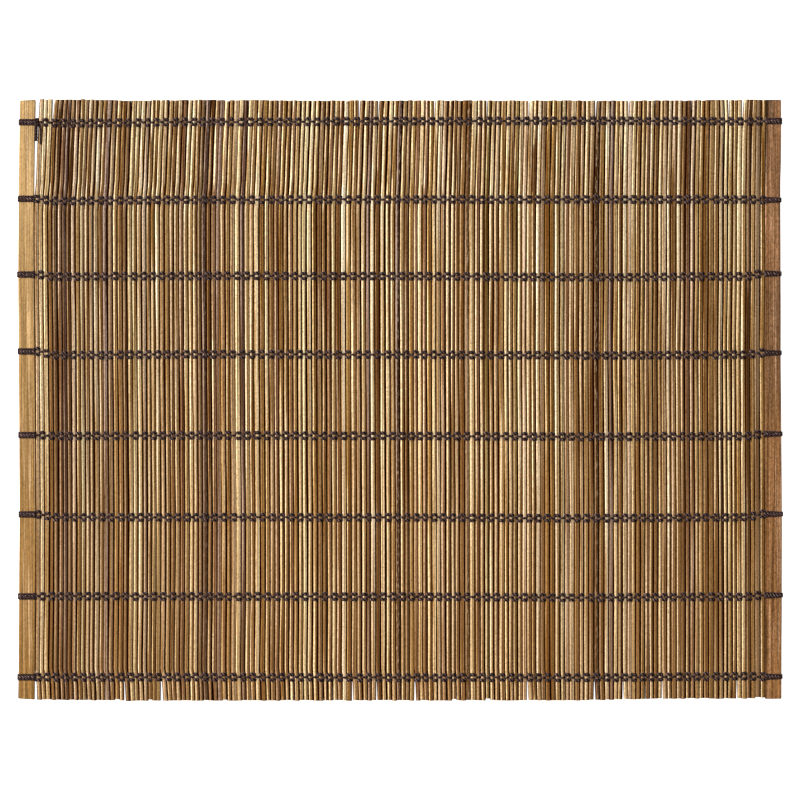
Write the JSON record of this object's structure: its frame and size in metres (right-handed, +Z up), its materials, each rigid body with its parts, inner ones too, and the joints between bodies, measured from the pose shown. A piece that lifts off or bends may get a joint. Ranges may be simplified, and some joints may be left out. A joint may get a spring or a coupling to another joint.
{
  "type": "woven bamboo mat",
  "caption": "Flat table mat of thin split-bamboo sticks side by side, held by rows of dark woven twine between two flat bamboo end slats.",
  "frame": {"origin": "middle of the mat's bounding box on the surface that it lies on", "axes": "+X along the mat's long side, from the pale end slat to the brown one; +Y along the sticks, towards the edge with the knot; +Z up from the surface"},
  "size_m": [0.45, 0.3542, 0.0048],
  "materials": {
    "slat_pale": "planed pale tan bamboo strip, fine lengthwise grain, satin",
    "slat_brown": "planed brown bamboo strip, fine lengthwise grain, satin",
    "reed": "split bamboo sticks in mixed cream, tan, brown and grey-purple tones, satin",
    "twine": "very dark purplish brown twisted twine, dull wax"
  },
  "bodies": {
    "root": {"end_slat_left": "slat_pale", "end_slat_right": "slat_brown", "reeds": "reed", "twine_row_1": "twine", "twine_row_2": "twine", "twine_row_3": "twine", "twine_row_4": "twine", "twine_row_5": "twine", "twine_row_6": "twine", "twine_row_7": "twine", "twine_row_8": "twine"}
  },
  "joints": []
}
